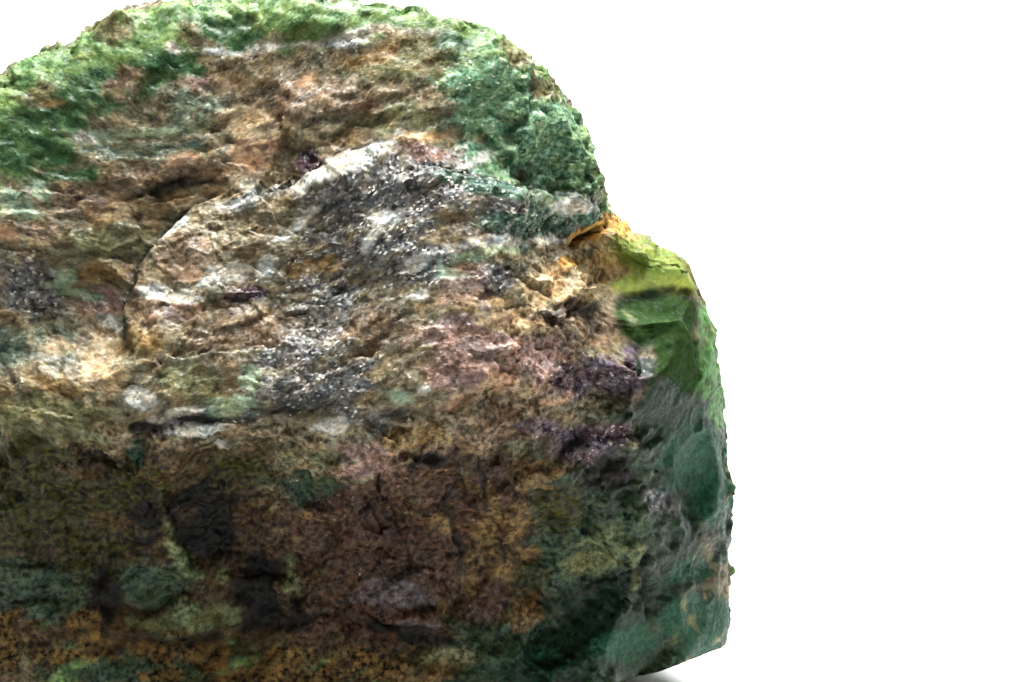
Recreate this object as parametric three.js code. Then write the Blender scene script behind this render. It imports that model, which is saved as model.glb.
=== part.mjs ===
// A rough lump of green aventurine: quartz full of bright mica, broken from a vein and only a little
// worn at its edges. It is one piece of stone. It rests on a flat break, and its broad broken face,
// an upper slope over a steeper lower wall, looks towards -Y.
// Millimetres, +Z up, +X to the right across the broad face. The origin is at the middle of the box
// that just holds the stone, at the level it rests on.

import * as THREE from "three";
import { mergeVertices } from "three/addons/utils/BufferGeometryUtils.js";

// ---- Driving dimensions ----
const FACE_LEAN = 20; // degrees that the plane of the broad face leans back from upright
const HEART = new THREE.Vector3(0, 0, 17.5); // a point deep in the stone that sees all of its surface
const EDGE_WEAR = 20; // how crisp the worn edges between breaks are: higher is sharper
const RIM_WEAR = 40; // the same for the outline, whose edge is thin and fresh
const GROUND_CUT = 0.5; // how much of the foot the flat resting break takes off
const SURFACE_DETAIL = 18; // subdivisions of the ball that the stone is shaped from

// The stone's outline, looking straight at the plane of the broad face: [across, up], in millimetres,
// with up measured along the leaning plane from the level of the ground under the stone's middle.
const OUTLINE = [
  [0, 38.8],
  [9, 38],
  [11.8, 35.9],
  [14.2, 33.6],
  [15.8, 30.6],
  [16.8, 27.4],
  [18.8, 24.9], // a notch where a lower lump stands out
  [20.9, 24.1],
  [22.6, 21.4],
  [23.6, 18],
  [23.2, 14.9],
  [24.2, 11],
  [24.3, 6.2],
  [25.2, 3.6],
  [23.6, 2],
  [17.6, 0.4], // below here the flat foot takes over from the outline
  [12.4, -3],
  [6, -7.4],
  [-3, -9.4],
  [-13, -9],
  [-19.6, -4.4],
  [-22.8, 2.4],
  [-24.2, 11],
  [-23.2, 19],
  [-20.4, 26.4],
  [-16.2, 33],
  [-12.2, 35.5],
  [-8, 38.2],
];

// The big flat breaks. turn is the way a break faces, in degrees from -Y round towards +X, lift is
// how far it looks up, and reach is its distance from the heart in millimetres.
const BREAKS = [
  { name: "lower_wall", turn: 2, lift: -5, reach: 13.6 },
  { name: "upper_slope", turn: -5, lift: 42.5, reach: 11.7 },
  { name: "upper_right_slope", turn: 36, lift: 38, reach: 16.2 },
  { name: "right_front", turn: 22, lift: 3, reach: 15.4 },
  { name: "right_flank", turn: 56, lift: 4, reach: 21.2 },
  { name: "left_flank", turn: -52, lift: 12, reach: 20.2 },
  { name: "left_top", turn: -82, lift: 45, reach: 23 },
  { name: "left_foot", turn: -74, lift: -34, reach: 24.2 },
  { name: "right_top", turn: 104, lift: 40, reach: 23.2 },
  { name: "right_foot", turn: 132, lift: -32, reach: 23.6 },
  { name: "back_wall", turn: 176, lift: 6, reach: 13.4 },
  { name: "back_slope", turn: 192, lift: 50, reach: 20.8 },
  { name: "back_chip", turn: 146, lift: 30, reach: 19.4 },
  { name: "back_right", turn: 122, lift: -4, reach: 22.6 },
  { name: "back_left", turn: -128, lift: 12, reach: 19.4 },
  { name: "back_foot", turn: 164, lift: -38, reach: 19 },
  { name: "resting_break", turn: 0, lift: -90, reach: HEART.z + GROUND_CUT },
];

// Bosses (height above 0) and hollows (below 0) on the broad face. across and up are the middle,
// as in OUTLINE, half is the half width and half height, tilt turns it in degrees, and power says
// how flat its middle and how steep its sides are: 2 is a soft mound, 6 a slab with an edge.
const RELIEF = [
  { name: "raised_slab", across: 5, up: 21.4, half: [14.4, 7.6], tilt: 18, power: 6, height: 1.5 },
  { name: "left_hollow", across: -9, up: 8.6, half: [5.2, 4.6], tilt: 10, power: 3, height: -2.4 },
  { name: "deep_hollow", across: -2.6, up: 7.2, half: [3.4, 5.6], tilt: -12, power: 3, height: -2.8 },
  { name: "toe", across: -10, up: 0, half: [12, 3.6], tilt: 0, power: 3, height: 1.8 },
  { name: "brow", across: 9, up: 13.6, half: [6, 3], tilt: 8, power: 2, height: 1 },
  { name: "lump_crest", across: 19.6, up: 18.6, half: [2, 5.4], tilt: -30, power: 2, height: 0.9 },
  { name: "flank_scoop", across: 22, up: 14.4, half: [2.4, 4], tilt: -24, power: 2, height: -0.8 },
  { name: "notch_gully", across: 17, up: 25, half: [4, 1.3], tilt: 24, power: 2, height: -1.6 },
  { name: "lower_right_bay", across: 13.4, up: 7.4, half: [4.2, 3.4], tilt: 20, power: 2, height: -1.2 },
];

// Gentle swells over the whole surface, so that no break is truly flat: [wave length, height].
const SWELLS = [
  [17, 0.55],
  [8.5, 0.32],
];
const SWELL_FADE = 5; // the swells die out over this height above the flat foot

// ---- The stone's surface as a distance from its heart ----
const lean = THREE.MathUtils.degToRad(FACE_LEAN);
const acrossFace = new THREE.Vector3(1, 0, 0);
const upFace = new THREE.Vector3(0, Math.sin(lean), Math.cos(lean));
const outOfFace = new THREE.Vector3(0, -Math.cos(lean), Math.sin(lean));
const heartUp = HEART.dot(upFace);

// The direction that a break looks in.
function facing(turn, lift) {
  const around = THREE.MathUtils.degToRad(turn);
  const above = THREE.MathUtils.degToRad(lift);
  return new THREE.Vector3(
    Math.sin(around) * Math.cos(above),
    -Math.cos(around) * Math.cos(above),
    Math.sin(above),
  );
}

const breaks = BREAKS.map(({ turn, lift, reach }) => ({ normal: facing(turn, lift), reach }));

// The outline as [angle round the heart, distance from it], in order of angle.
const rim = new THREE.SplineCurve([...OUTLINE, OUTLINE[0]].map(([x, y]) => new THREE.Vector2(x, y)))
  .getPoints(900)
  .map((p) => [Math.atan2(p.y - heartUp, p.x), Math.hypot(p.x, p.y - heartUp)])
  .sort((a, b) => a[0] - b[0]);

// The outline's distance from the heart at an angle, between its two nearest points.
function rimReach(angle) {
  const after = rim.findIndex(([a]) => a >= angle);
  if (after <= 0) return rim[0][1];
  const [a0, r0] = rim[after - 1];
  const [a1, r1] = rim[after];
  return THREE.MathUtils.mapLinear(angle, a0, Math.max(a1, a0 + 1e-9), r0, r1);
}

// The largest of some numbers, blended where two come close: a power mean that never dips below it.
function softest(values, wear) {
  return Math.pow(values.reduce((sum, value) => sum + Math.pow(value, wear), 0), 1 / wear);
}

// How far the stone reaches along a direction before any relief: the nearest of its breaks and its
// outline, with the edges between them worn round.
function blockReach(direction) {
  const sideways = direction.dot(acrossFace);
  const upward = direction.dot(upFace);
  const toRim = Math.hypot(sideways, upward) / rimReach(Math.atan2(upward, sideways));
  const toBreaks = breaks.map(({ normal, reach }) => Math.max(0, direction.dot(normal)) / reach);
  return 1 / softest([softest(toBreaks, EDGE_WEAR), toRim], RIM_WEAR);
}

// The height of all bosses and hollows at a point, which fade out where the face turns away.
function relief(point, direction) {
  const facingUs = THREE.MathUtils.smoothstep(direction.dot(outOfFace), -0.1, 0.35);
  const across = point.dot(acrossFace);
  const up = point.dot(upFace);
  let total = 0;
  for (const { across: x, up: y, half, tilt, power, height } of RELIEF) {
    const angle = THREE.MathUtils.degToRad(tilt);
    const along = (across - x) * Math.cos(angle) + (up - y) * Math.sin(angle);
    const over = (up - y) * Math.cos(angle) - (across - x) * Math.sin(angle);
    const away = Math.hypot(along / half[0], over / half[1]);
    total += height * Math.exp(-Math.pow(away, power));
  }
  return total * facingUs;
}

// A smooth, repeatable swell: three crossed waves whose directions have nothing in common.
function swell(point) {
  let total = 0;
  for (const [length, height] of SWELLS) {
    const turns = (2 * Math.PI) / length;
    const wave =
      Math.sin(turns * (0.86 * point.x + 0.41 * point.z) + 1.3) +
      Math.sin(turns * (0.73 * point.y - 0.52 * point.x) + 4.1) +
      Math.sin(turns * (0.91 * point.z + 0.38 * point.y) + 2.6);
    total += (height * wave) / 3;
  }
  return total;
}

// The surface point along a direction, cut off flat at the ground.
function surfacePoint(direction) {
  const point = direction.clone().multiplyScalar(blockReach(direction)).add(HEART);
  const clearOfGround = THREE.MathUtils.smoothstep(point.z, 0, SWELL_FADE);
  point.addScaledVector(direction, relief(point, direction) + swell(point) * clearOfGround);
  return point.setZ(Math.max(point.z, 0));
}

// ---- The solid ----
function stoneGeometry() {
  const ball = new THREE.IcosahedronGeometry(1, SURFACE_DETAIL);
  ball.deleteAttribute("normal");
  ball.deleteAttribute("uv");
  const geometry = mergeVertices(ball, 1e-5);
  const places = geometry.getAttribute("position");
  const direction = new THREE.Vector3();
  for (let i = 0; i < places.count; i++) {
    direction.fromBufferAttribute(places, i).normalize();
    const { x, y, z } = surfacePoint(direction);
    places.setXYZ(i, x, y, z);
  }
  geometry.computeBoundingBox();
  const middle = geometry.boundingBox.getCenter(new THREE.Vector3());
  geometry.translate(-middle.x, -middle.y, 0);
  geometry.computeVertexNormals();
  return geometry;
}

const greenQuartz = new THREE.MeshStandardMaterial({ color: 0x5d6b50, roughness: 0.5, metalness: 0 });

const stone = new THREE.Mesh(stoneGeometry(), greenQuartz);
stone.name = "aventurine_stone";

const part = new THREE.Group();
part.add(stone);

export default part;
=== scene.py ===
"""A rough lump of green aventurine: mica-rich quartz with brown, grey and mauve seams, worn cream veins
and an iron-stained crust, lying on a plain pale table. Sizes in the tables are millimetres."""

import math

import bmesh
import bpy
import numpy as np
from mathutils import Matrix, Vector
from mathutils.bvhtree import BVHTree


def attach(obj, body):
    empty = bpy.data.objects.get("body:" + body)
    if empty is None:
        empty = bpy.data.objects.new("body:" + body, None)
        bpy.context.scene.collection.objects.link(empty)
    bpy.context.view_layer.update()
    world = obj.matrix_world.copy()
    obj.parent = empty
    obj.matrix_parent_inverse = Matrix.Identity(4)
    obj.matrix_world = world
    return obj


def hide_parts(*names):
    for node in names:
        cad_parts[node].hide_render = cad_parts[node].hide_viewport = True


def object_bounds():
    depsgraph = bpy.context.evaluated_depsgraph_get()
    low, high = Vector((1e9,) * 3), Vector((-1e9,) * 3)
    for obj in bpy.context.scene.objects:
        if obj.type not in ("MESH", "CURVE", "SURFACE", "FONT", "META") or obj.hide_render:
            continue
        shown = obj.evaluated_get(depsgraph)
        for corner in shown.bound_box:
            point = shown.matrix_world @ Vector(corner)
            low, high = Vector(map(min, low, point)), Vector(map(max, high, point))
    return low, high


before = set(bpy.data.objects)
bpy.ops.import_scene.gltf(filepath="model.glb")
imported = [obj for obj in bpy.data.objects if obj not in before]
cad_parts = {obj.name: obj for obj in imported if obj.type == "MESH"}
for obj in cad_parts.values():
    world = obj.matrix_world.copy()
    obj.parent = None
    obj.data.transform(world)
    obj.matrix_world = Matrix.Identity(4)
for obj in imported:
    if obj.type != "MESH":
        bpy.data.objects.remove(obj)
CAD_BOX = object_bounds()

bl_info = {
    "name": "Rough Aventurine Stone",
    "version": (1, 0, 0),
    "blender": (4, 5, 0),
    "location": "View3D > Sidebar > Aventurine",
    "description": "Builds a rough aventurine stone and a plain studio round it",
    "category": "Add Mesh",
}

MM = 0.001
SOLID = "aventurine_stone"
BODY = "root"
FACE_LEAN = math.radians(20.0)  # how far the plane of the broad face leans back
CHIP_SEED = 41
HEART = np.array([0.0, 0.0, 17.5])  # a point deep in the stone that sees all of its surface
QUARTZ_IOR = 1.54
TABLE_HALF = 0.26  # half the side of the white table, in metres
TABLE_DROP = 0.02 * MM  # how far the table lies under the foot, so that the two never share a plane
WHITE = (1.0, 1.0, 1.0, 1.0)
ROOM_SEEN = 1.05  # how bright the white room looks
ROOM_LIGHT = 0.1  # how much light the room itself gives
VIEW_AIM = (12.32, 19.2)  # where on the broad face the camera looks: across and up, in millimetres

# The broad face's own directions: across it, up it, and straight out of it.
ACROSS = np.array([1.0, 0.0, 0.0])
UP = np.array([0.0, math.sin(FACE_LEAN), math.cos(FACE_LEAN)])
OUT = np.array([0.0, -math.cos(FACE_LEAN), math.sin(FACE_LEAN)])


def linear(hex_colour):
    """An sRGB hex colour as linear red, green, blue and alpha."""
    parts = [int(hex_colour[i : i + 2], 16) / 255.0 for i in (1, 3, 5)]
    curve = [c / 12.92 if c <= 0.04045 else ((c + 0.055) / 1.055) ** 2.4 for c in parts]
    return (*curve, 1.0)


# ---- The stone's minerals ----
# Each: its dark and light tone, how ragged its border is, how rough it breaks, how much it sparkles, and
# where it lies on the broad face as [across, up, half width, half height, tilt in degrees, strength].
# Later minerals lie over earlier ones. Some entries hold painted shade, shadow or glow, as marked below.
MINERALS = {
    # The lower wall's tones, here and in green_wall, dark_olive and teal_quartz, are partly the rock's own
    # dark colour and partly painted shade of the wall, which faces away from the lamps.
    "brown_wall": ("#1c1409", "#5c4a30", 1.0, 0.5, 0.3, [
        (-8.0, 7.4, 11.0, 6.4, 0, 1.2), (4.0, 3.0, 9.0, 5.0, 0, 1.2), (11.6, 8.6, 6.0, 5.6, 0, 1.2),
        (8.0, 12.6, 5.0, 1.6, 0, 1), (-19.0, 6.0, 6.0, 7.0, 0, 1.2), (-6.0, -5.0, 18.0, 5.0, 0, 1.2),
        (10.0, -2.6, 10.0, 3.5, 0, 1.2),
    ]),
    # Partly the rock's colour and partly painted shade of the lower wall.
    "green_wall": ("#0d1a11", "#3a4c34", 1.0, 0.36, 0.3, [
        (18.4, 8.0, 4.6, 6.6, 0, 1.2), (16.0, 2.0, 7.0, 2.6, 0, 1.2), (21.6, 13.0, 2.6, 5.0, 0, 1.2),
        (18.6, 13.4, 2.4, 2.4, 0, 1),
    ]),
    "green_quartz": ("#36562a", "#8aaa68", 1.1, 0.45, 0.4, [
        (-13.0, 33.0, 4.6, 2.6, 38, 1), (-8.0, 35.6, 5.0, 2.2, 26, 1), (-1.0, 37.2, 7.0, 1.8, 0, 1),
        (6.4, 37.2, 5.4, 1.3, -3, 1), (11.2, 35.6, 2.6, 1.8, -34, 1), (14.0, 32.6, 2.2, 2.6, -60, 1),
        (-15.6, 30.0, 3.0, 3.0, 0, 1), (17.2, 27.0, 1.3, 1.1, -40, 1), (15.8, 30.4, 1.2, 2.6, 14, 1),
    ]),
    "sea_green": ("#3c6a48", "#9cc298", 1.1, 0.42, 0.8, [
        (12.4, 30.6, 3.9, 3.4, -8, 1), (14.8, 28.6, 2.8, 2.0, 0, 1), (10.6, 33.2, 2.8, 1.6, 10, 0.9),
        (14.6, 27.6, 2.4, 1.0, 0, 1),
    ]),
    "sage": ("#46564a", "#96a288", 1.1, 0.42, 0.6, [
        (-14.2, 18.8, 2.6, 1.3, 0, 0.9), (-4.8, 31.4, 2.0, 1.0, 0, 0.9), (-7.4, 29.4, 3.0, 0.6, 0, 0.7),
        (-9.0, 26.2, 1.6, 0.6, 10, 0.7), (14.6, 26.2, 1.6, 0.9, -10, 0.9),
    ]),
    "leaf_green": ("#20391f", "#52764a", 1.0, 0.4, 0.4, [
        (-3.0, 35.9, 1.6, 1.0, 0, 1), (-6.4, 33.8, 2.4, 1.0, 10, 1), (-14.4, 29.2, 1.8, 0.9, 0, 1),
        (9.0, 35.2, 1.2, 0.6, 10, 1), (16.4, 26.4, 0.7, 0.5, 0, 1), (-11.4, 31.6, 2.0, 0.5, 20, 0.8),
        (15.0, 27.4, 1.6, 0.4, -6, 0.6), (-9.5, 32.4, 4.0, 1.2, 16, 0.9), (-13.0, 30.0, 3.0, 1.5, 0, 1),
        (-12.0, 28.0, 2.2, 0.5, 10, 0.8),
    ]),
    "slate_mica": ("#2c2a29", "#908e8b", 1.0, 0.38, 1.0, [
        (5.4, 27.0, 4.6, 2.0, 20, 1), (2.6, 20.6, 3.4, 3.4, 20, 0.75), (6.2, 24.0, 3.6, 2.4, 10, 0.85),
        (-13.4, 21.9, 2.0, 1.3, -14, 1), (9.6, 27.4, 3.0, 0.9, -8, 1), (12.4, 26.0, 3.2, 1.5, -6, 0.9),
        (1.8, 16.8, 3.6, 1.2, 6, 1), (-4.2, 15.0, 3.2, 0.5, 8, 1), (0.4, 18.6, 2.0, 0.8, 18, 1),
        (11.6, 22.6, 1.5, 0.7, 4, 0.9), (-0.8, 27.0, 2.2, 0.7, 26, 0.8), (4.6, 15.4, 2.2, 1.0, 0, 0.8),
        (3.0, 23.0, 3.4, 2.4, 20, 0.7), (20.4, 10.6, 1.2, 0.9, 0, 0.8),
    ]),
    "deep_slate": ("#20382c", "#6c8c78", 1.0, 0.38, 1.0, [
        (12.9, 27.0, 2.4, 0.5, -4, 1), (12.6, 25.4, 1.8, 0.6, 0, 1), (10.0, 28.0, 2.0, 0.4, -6, 1),
        (14.8, 26.0, 1.8, 0.9, 0, 1),
    ]),
    "olive": ("#45442a", "#98946a", 1.2, 0.45, 0.5, [
        (-13.6, 15.2, 3.2, 1.5, 0, 1), (6.0, 34.0, 2.6, 1.2, 14, 1), (6.4, 31.0, 2.4, 0.9, 10, 0.9),
        (-9.4, 24.5, 1.8, 1.0, 6, 1), (-9.6, 35.8, 1.2, 1.0, 0, 1), (-12.8, 32.6, 1.2, 0.6, 10, 0.9),
        (2.8, 13.0, 2.6, 0.6, 4, 1), (-4.5, 16.9, 1.5, 0.9, -4, 1.1), (12.8, 34.4, 1.2, 0.7, -30, 0.9),
        (14.4, 33.0, 0.7, 0.9, -60, 0.9), (-7.4, 24.6, 1.0, 0.7, 30, 0.9), (-10.0, 14.8, 2.4, 1.2, 0, 0.7),
        (13.0, 13.3, 0.9, 0.5, 0, 0.8), (9.0, 2.3, 1.4, 0.5, 10, 1), (18.7, 14.0, 0.5, 0.8, 0, 0.7),
    ]),
    "brown": ("#4a3a2a", "#a08a70", 1.0, 0.5, 0.6, [
        (0.4, 31.9, 3.0, 1.4, 10, 1), (3.4, 32.4, 2.6, 1.0, 14, 0.9), (-9.4, 27.0, 3.0, 1.2, 14, 0.9),
        (-4.2, 28.1, 3.0, 0.6, 10, 1), (-5.2, 23.8, 2.0, 1.0, 14, 1), (-1.6, 20.0, 2.6, 1.6, 10, 0.9),
        (-13.6, 25.2, 1.8, 0.6, 0, 0.9), (5.2, 19.8, 2.2, 1.2, 0, 0.9), (12.2, 15.2, 2.4, 1.0, 0, 1),
        (-7.0, 21.0, 0.9, 1.3, 0, 1), (16.2, 20.0, 2.3, 1.0, 0, 1), (-4.0, 19.4, 1.2, 0.8, 0, 0.8),
        (9.8, 13.8, 2.8, 0.7, 4, 1), (4.4, 31.8, 1.0, 0.5, 10, 1), (-8.6, 33.0, 1.6, 0.8, 10, 0.6),
    ]),
    "golden": ("#5a4426", "#ac9264", 1.3, 0.5, 0.5, [
        (-9.5, 23.1, 1.4, 0.7, 0, 1), (-7.4, 19.0, 0.9, 0.8, 0, 1), (5.0, 34.4, 1.6, 0.5, 16, 1),
        (-12.2, 16.8, 2.4, 0.6, 0, 0.9), (3.7, 30.2, 0.9, 0.4, 10, 1), (-12.4, 31.9, 0.8, 0.2, 0, 1),
        (7.2, 13.9, 2.0, 0.5, 4, 1), (1.6, 23.0, 1.4, 0.5, 16, 0.8), (17.4, 22.8, 1.3, 1.0, 0, 1.1),
    ]),
    "mauve": ("#664e46", "#bc9c90", 1.0, 0.42, 0.7, [
        (10.4, 19.4, 3.0, 1.6, 6, 1), (10.0, 17.6, 2.6, 1.0, 0, 1), (13.6, 18.6, 1.8, 1.2, 0, 1),
        (-9.6, 21.4, 1.7, 0.8, 0, 0.9), (7.6, 29.4, 1.6, 0.5, 0, 0.8), (-4.4, 33.0, 1.4, 0.6, 0, 0.6),
        (-5.4, 21.0, 1.4, 0.6, 0, 0.8), (14.6, 17.0, 1.6, 1.0, 0, 0.8), (9.6, 22.0, 1.4, 1.0, 40, 0.8),
        (4.6, 12.9, 2.4, 0.9, 0, 0.75),
    ]),
    "dusky_mauve": ("#2a2024", "#74606a", 0.9, 0.36, 0.8, [
        (17.0, 17.4, 2.4, 1.2, 0, 1), (1.3, 28.8, 0.8, 0.6, 0, 1), (16.4, 13.8, 2.2, 1.0, 0, 1),
        (-1.5, 21.6, 1.0, 0.5, 0, 0.9), (18.6, 17.6, 1.2, 1.4, 0, 0.9), (13.8, 14.6, 1.4, 0.6, 0, 0.8),
    ]),
    "plum": ("#1e110a", "#5e4636", 0.9, 0.42, 0.5, [
        (4.6, 9.2, 4.4, 3.2, 0, 1), (8.6, 11.6, 1.2, 1.6, 0, 1), (7.4, 8.0, 2.4, 2.6, 0, 1),
        (11.8, 11.8, 1.4, 0.9, 0, 1), (5.0, 4.8, 3.6, 1.6, 0, 1), (11.0, 5.2, 1.2, 1.4, 0, 0.8),
        (10.2, 9.6, 1.2, 1.4, 0, 0.7), (2.0, 4.2, 1.6, 1.2, 0, 0.7), (7.6, 12.4, 2.6, 0.8, 0, 0.7),
    ]),
    "lilac_bloom": ("#3e3434", "#7c7070", 1.0, 0.45, 0.5, [
        (5.8, 5.6, 2.0, 0.6, 0, 1), (7.4, 4.0, 1.2, 0.4, 0, 0.8), (4.2, 10.4, 1.6, 0.4, 0, 0.5),
    ]),
    # Partly the rock's colour and partly painted shade of the lower wall.
    "dark_olive": ("#0f1108", "#48461f", 1.0, 0.45, 0.3, [
        (-13.0, 10.8, 3.4, 2.4, 0, 1), (-13.6, 13.2, 2.8, 0.8, 4, 1), (-8.0, 11.4, 2.4, 1.4, 0, 1),
        (-10.4, 8.0, 2.4, 2.0, 0, 0.9), (-2.4, 12.4, 2.0, 0.9, 8, 0.9), (-15.0, 7.6, 1.4, 0.8, 0, 0.8),
        (14.6, 10.6, 1.6, 1.6, 0, 0.8), (13.4, 6.8, 1.4, 1.0, 0, 0.8),
    ]),
    "grey_green": ("#142018", "#4c6046", 1.0, 0.4, 0.3, [
        (-13.0, 6.0, 2.8, 1.4, -6, 1), (-7.0, 6.2, 1.9, 1.4, 0, 1), (1.0, 11.6, 1.9, 0.9, -8, 0.9),
        (-8.6, 1.4, 4.0, 0.8, 0, 0.8), (14.8, 7.4, 1.2, 1.6, 0, 0.9), (18.8, 9.4, 1.8, 0.8, 0, 0.9),
    ]),
    # Painted shadow: near-black patches laid in the hollows of the lower wall, where shade falls.
    "black_hollow": ("#040403", "#1a1713", 1.1, 0.5, 0.3, [
        (-3.6, 9.8, 1.7, 2.2, -10, 1), (-1.4, 5.6, 1.3, 2.2, -8, 1), (-7.2, 9.4, 1.0, 2.0, 0, 0.9),
        (-9.6, 5.6, 0.9, 1.5, 10, 1), (5.4, 3.9, 1.0, 0.3, 0, 1), (7.6, 3.3, 1.2, 0.35, -4, 1),
        (0.4, 4.6, 1.2, 1.0, 0, 0.8), (8.2, 13.0, 1.2, 0.3, 0, 0.8), (-6.8, 14.7, 0.9, 0.4, 0, 0.8),
        (-12.2, 2.6, 1.2, 0.6, -30, 0.8), (-3.4, 15.2, 1.6, 0.2, 6, 1), (-6.6, 27.3, 1.8, 0.25, 14, 1),
        (17.4, 12.0, 1.4, 1.0, 0, 0.8), (15.8, 13.6, 1.2, 0.5, 0, 0.6),
    ]),
    "deep_green": ("#06140b", "#203e2a", 1.1, 0.36, 0.3, [
        (16.6, 4.2, 2.8, 1.6, 8, 1), (14.0, 1.6, 3.6, 1.0, 4, 1), (17.6, 6.0, 1.6, 0.7, 20, 1),
        (20.8, 15.6, 1.3, 1.6, -30, 1), (24.1, 8.4, 0.7, 1.4, 0, 1), (21.6, 9.2, 1.2, 0.9, -30, 1),
        (20.4, 5.4, 1.0, 0.9, 0, 0.9), (19.6, 17.6, 1.0, 0.7, 0, 0.8), (-7.6, 13.4, 0.7, 0.6, 0, 0.8),
        (10.6, 0.6, 3.0, 0.8, 0, 0.8), (22.8, 15.2, 0.8, 0.5, -50, 0.9),
    ]),
    # Partly the quartz's colour and partly painted shade of the lower wall.
    "teal_quartz": ("#08281b", "#2c6248", 1.2, 0.4, 0.3, [
        (22.3, 12.8, 2.0, 1.9, -10, 1), (23.4, 10.6, 1.0, 1.2, 0, 1), (22.6, 3.8, 2.2, 1.9, 0, 1),
        (22.2, 6.8, 1.4, 0.8, 10, 1), (18.6, 3.0, 1.9, 0.9, 6, 0.9), (14.6, 2.4, 1.6, 0.5, 0, 0.7),
        (24.4, 4.0, 0.8, 1.0, 0, 1),
    ]),
    # The steep green quartz facet below the lump's crest: its green is the rock's, and it is painted darker
    # as the shade of a face turned from the top light.
    "moss_face": ("#1a300e", "#304e1c", 0.4, 0.85, 0.0, [
        (20.3, 20.5, 2.0, 1.4, -6, 1.6), (21.4, 18.4, 1.1, 1.9, 26, 1.5),
    ]),
    # Painted glow: the light green of the thin right rim, partly the quartz's own green and partly the
    # light shining through it.
    "rim_glow": ("#335e30", "#6c9c54", 1.0, 0.45, 0.3, [
        (23.4, 18.0, 0.7, 2.2, 4, 1), (23.2, 15.9, 0.6, 1.2, 20, 1), (23.2, 20.6, 0.6, 1.2, 20, 1),
    ]),
    "yellow_green": ("#66742a", "#90a04a", 0.6, 0.7, 0.1, [
        (20.0, 23.5, 2.5, 1.3, -12, 1.1), (18.6, 22.1, 0.9, 0.5, 6, 1), (21.6, 22.4, 1.2, 0.5, -20, 1),
    ]),
    "tan": ("#846a48", "#d6be94", 1.2, 0.5, 0.5, [
        (15.3, 22.3, 1.4, 1.0, 0, 1), (13.8, 21.6, 0.6, 1.1, 10, 1), (-9.2, 18.8, 1.3, 1.0, 0, 0.75),
        (-8.8, 26.6, 2.4, 0.8, 14, 0.7),
        (-9.0, 17.4, 1.9, 0.8, 0, 0.7), (-2.4, 33.2, 1.2, 0.6, 0, 0.9), (-1.8, 31.2, 1.4, 0.8, 10, 0.9),
        (13.2, 20.0, 1.3, 0.4, 0, 1), (-4.8, 26.9, 1.5, 0.5, 12, 1), (-6.0, 26.2, 1.4, 0.6, 20, 0.9),
        (7.8, 30.2, 2.2, 0.3, 0, 1), (12.0, 21.4, 2.2, 0.25, -2, 0.8), (-11.6, 19.0, 1.6, 0.6, 0, 0.6),
        (8.9, 24.8, 1.4, 0.6, 0, 0.8), (16.4, 24.5, 1.2, 0.3, 8, 1),
        (10.5, 21.0, 2.6, 0.7, 0, 0.8),
    ]),
    "peach": ("#987258", "#d8b894", 1.1, 0.5, 0.3, [
        (9.4, 16.1, 1.1, 0.45, 10, 1), (-1.5, 29.4, 1.3, 0.9, 6, 1), (-5.2, 28.9, 1.1, 0.5, 6, 0.9),
        (-14.9, 24.8, 0.7, 0.5, 0, 1.1), (11.6, 16.9, 1.2, 0.8, 0, 0.7), (14.4, 16.0, 0.7, 0.25, 0, 1),
        (-3.1, 33.0, 0.7, 0.4, 0, 0.8), (1.3, 33.1, 0.6, 0.4, 30, 0.8), (-5.0, 22.9, 1.0, 0.4, 0, 0.8),
    ]),
    "pale_green": ("#748868", "#c0ccac", 1.4, 0.42, 0.6, [
        (-2.4, 15.8, 1.4, 0.55, 0, 1.1), (-8.0, 30.4, 2.6, 0.3, 6, 0.9), (-11.2, 21.9, 1.4, 0.35, -16, 1),
        (-14.2, 26.3, 1.2, 0.8, 0, 1), (9.2, 22.9, 0.8, 0.6, 0, 0.9), (11.2, 23.9, 1.8, 0.35, 10, 1),
        (17.6, 26.6, 0.9, 0.4, -40, 0.9), (3.4, 37.6, 1.0, 0.5, 0, 0.8), (-13.0, 27.3, 0.5, 0.7, 0, 0.8),
        (-11.8, 22.8, 0.6, 0.5, 0, 0.9), (-1.4, 17.2, 0.5, 0.8, 0, 0.9), (6.4, 16.3, 0.7, 0.35, 10, 1),
        (14.0, 26.9, 1.6, 0.5, -6, 0.8),
    ]),
    "dull_pale_green": ("#3e482c", "#848a60", 1.5, 0.45, 0.4, [
        (-5.2, 4.4, 2.2, 0.7, 4, 1.1), (16.8, 7.5, 1.5, 0.7, 20, 1), (18.9, 7.8, 0.7, 0.6, 0, 1),
        (15.8, 5.9, 0.7, 0.3, 10, 1), (17.2, 8.6, 1.4, 0.4, 4, 0.8), (19.4, 6.3, 0.22, 0.9, 6, 0.9),
        (22.0, 4.2, 0.2, 1.4, 14, 0.8), (17.2, 3.6, 0.7, 0.25, 30, 0.8), (-5.3, 8.0, 0.35, 1.6, 22, 1.1),
        (0.5, 7.0, 0.4, 1.2, 14, 0.8), (-3.3, 6.6, 0.5, 0.4, -50, 0.8), (18.7, 20.4, 0.3, 0.6, 20, 0.8),
    ]),
    "quartz_vein": ("#a8a294", "#eeece2", 1.2, 0.42, 0.7, [
        (3.4, 28.5, 2.7, 0.42, 32, 1.1), (1.5, 27.5, 0.7, 0.35, 24, 1), (0.9, 25.3, 1.5, 0.28, 34, 1.1),
        (5.6, 25.7, 0.8, 0.7, 0, 1.1), (5.0, 24.7, 0.8, 0.35, 52, 1), (-3.0, 22.6, 1.1, 0.55, 10, 1.1),
        (-0.7, 23.2, 0.7, 0.4, 44, 1.1), (-6.0, 21.7, 1.3, 0.4, -4, 1), (-1.0, 27.4, 0.6, 0.3, 20, 1),
        (-2.2, 26.4, 1.3, 0.2, 6, 1), (7.1, 21.4, 0.8, 0.35, 6, 1), (12.0, 24.5, 3.0, 0.25, 3, 1),
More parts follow.
